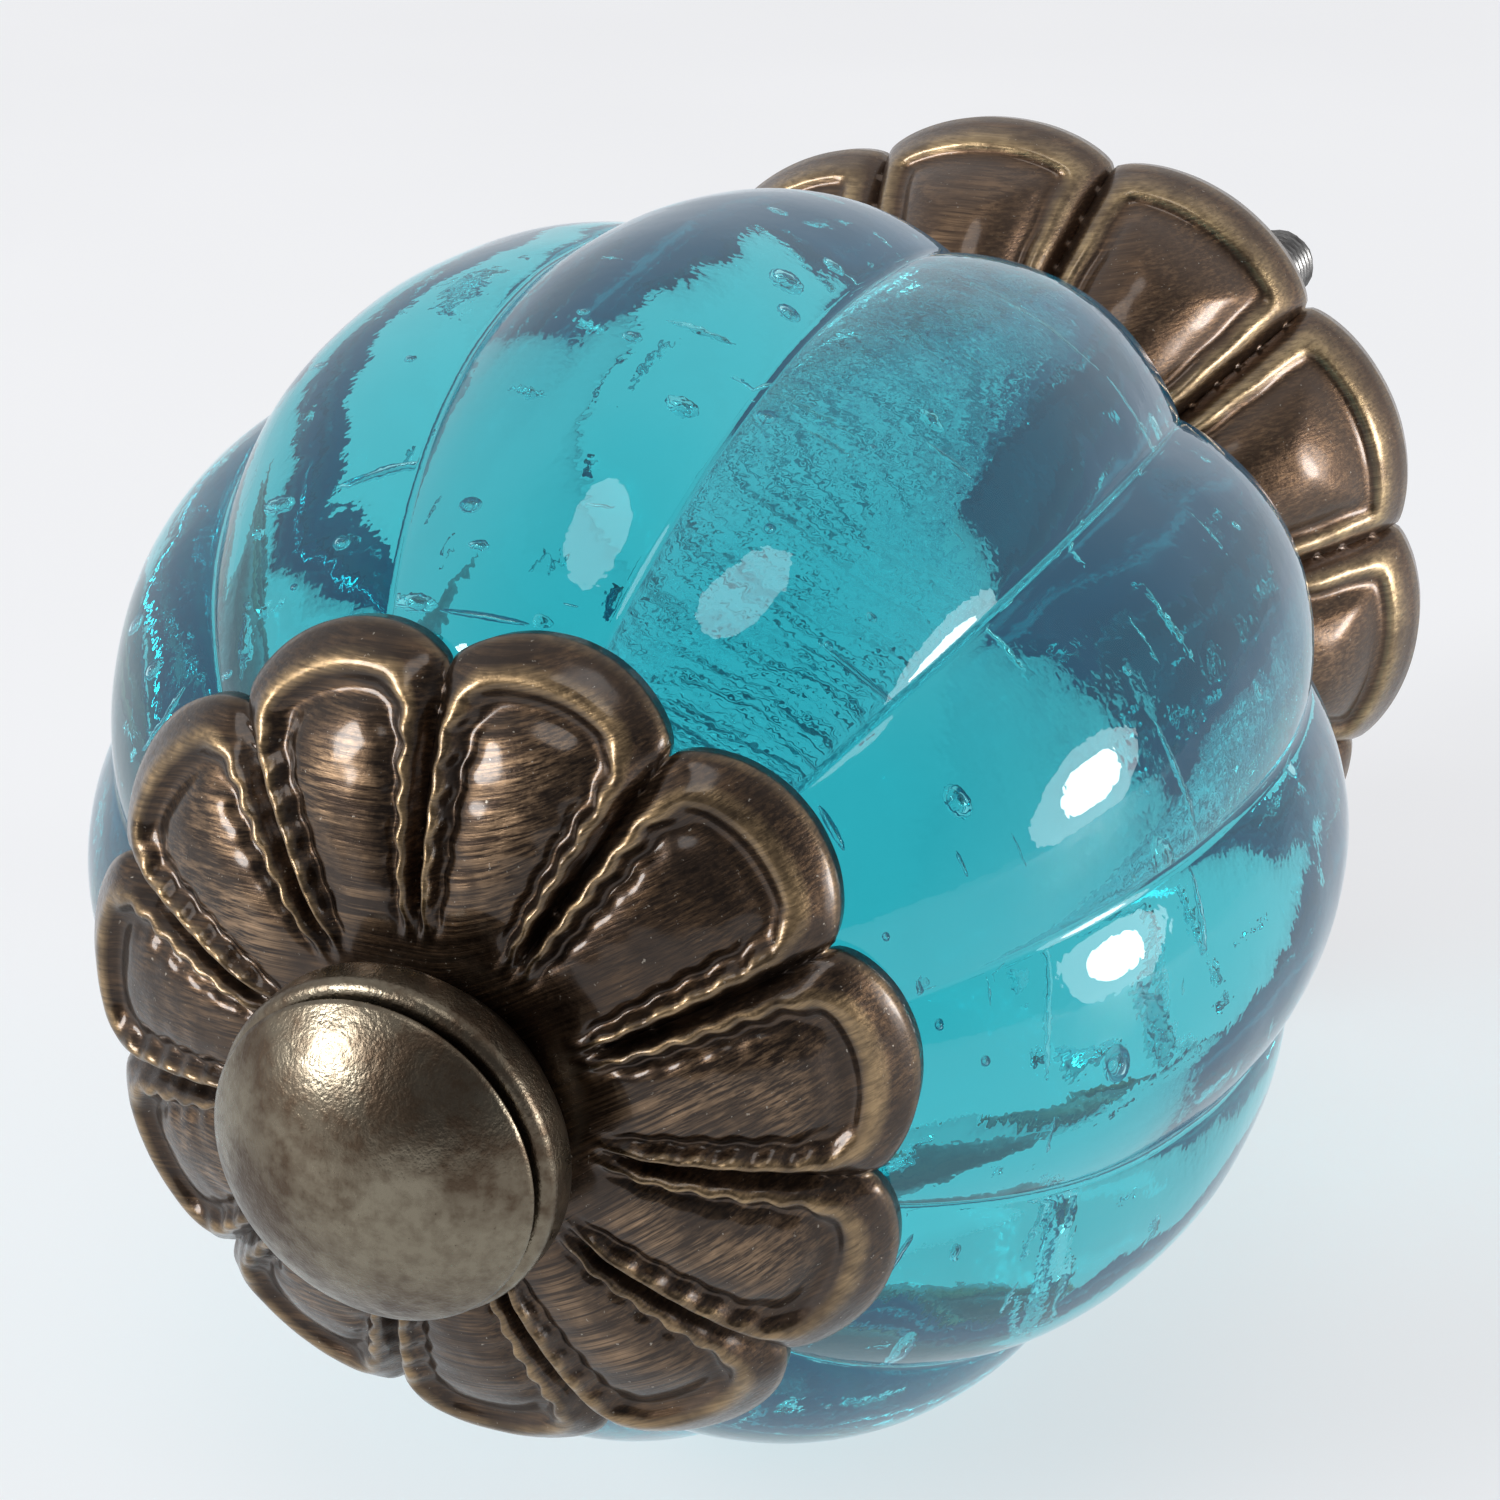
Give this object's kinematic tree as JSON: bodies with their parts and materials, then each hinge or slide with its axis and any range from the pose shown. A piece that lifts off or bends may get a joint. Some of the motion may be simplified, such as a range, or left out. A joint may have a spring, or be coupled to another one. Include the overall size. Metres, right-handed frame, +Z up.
{
  "type": "cabinet knob",
  "caption": "Round fluted glass cabinet knob with flower-shaped metal caps and a domed finial, clamped on a threaded stud with a washer and nut behind the drawer front.",
  "frame": {"origin": "on the knob's axis, in the plane of the base's flat rear rim, which is the face of the drawer front", "axes": "+Y along the stud away from the knob, into the drawer; the knob's front faces -Y; +Z up; +X to the right seen from the front"},
  "size_m": [0.04, 0.1057, 0.04],
  "materials": {
    "turquoise_glass": "fire-polished pressed glass, tinted through, with air bubbles",
    "antique_brass": "stamped brass sheet, dark patina with brushed highlights",
    "antique_nickel": "turned brass, nickel plated and dulled",
    "zinc_steel": "zinc plated",
    "clear_gasket": "soft translucent plastic"
  },
  "bodies": {
    "knob": {"domed_finial": "antique_nickel", "finial_collar": "antique_nickel", "front_cap": "antique_brass", "front_gasket": "clear_gasket", "glass_body": "turquoise_glass", "rear_gasket": "clear_gasket", "rear_base": "antique_brass", "retaining_washer": "zinc_steel", "retaining_nut": "zinc_steel", "threaded_stud": "zinc_steel"},
    "mounting_washer": {"mounting_washer": "zinc_steel"},
    "mounting_nut": {"mounting_nut": "zinc_steel"}
  },
  "joints": [
    {"name": "washer_slide", "type": "slide", "parent": "knob", "child": "mounting_washer", "axis": [0, 1, 0], "range_m": [-0.015, 0.027]},
    {"name": "nut_spin", "type": "hinge", "parent": "mounting_washer", "child": "mounting_nut", "pos_m": [0, 0.0209, 0], "axis": [0, 1, 0], "range_deg": [-7715, 13886]}
  ],
  "couplings": [
    {"joint": "nut_spin", "follows": "washer_slide", "rad_per_m": 8976}
  ]
}
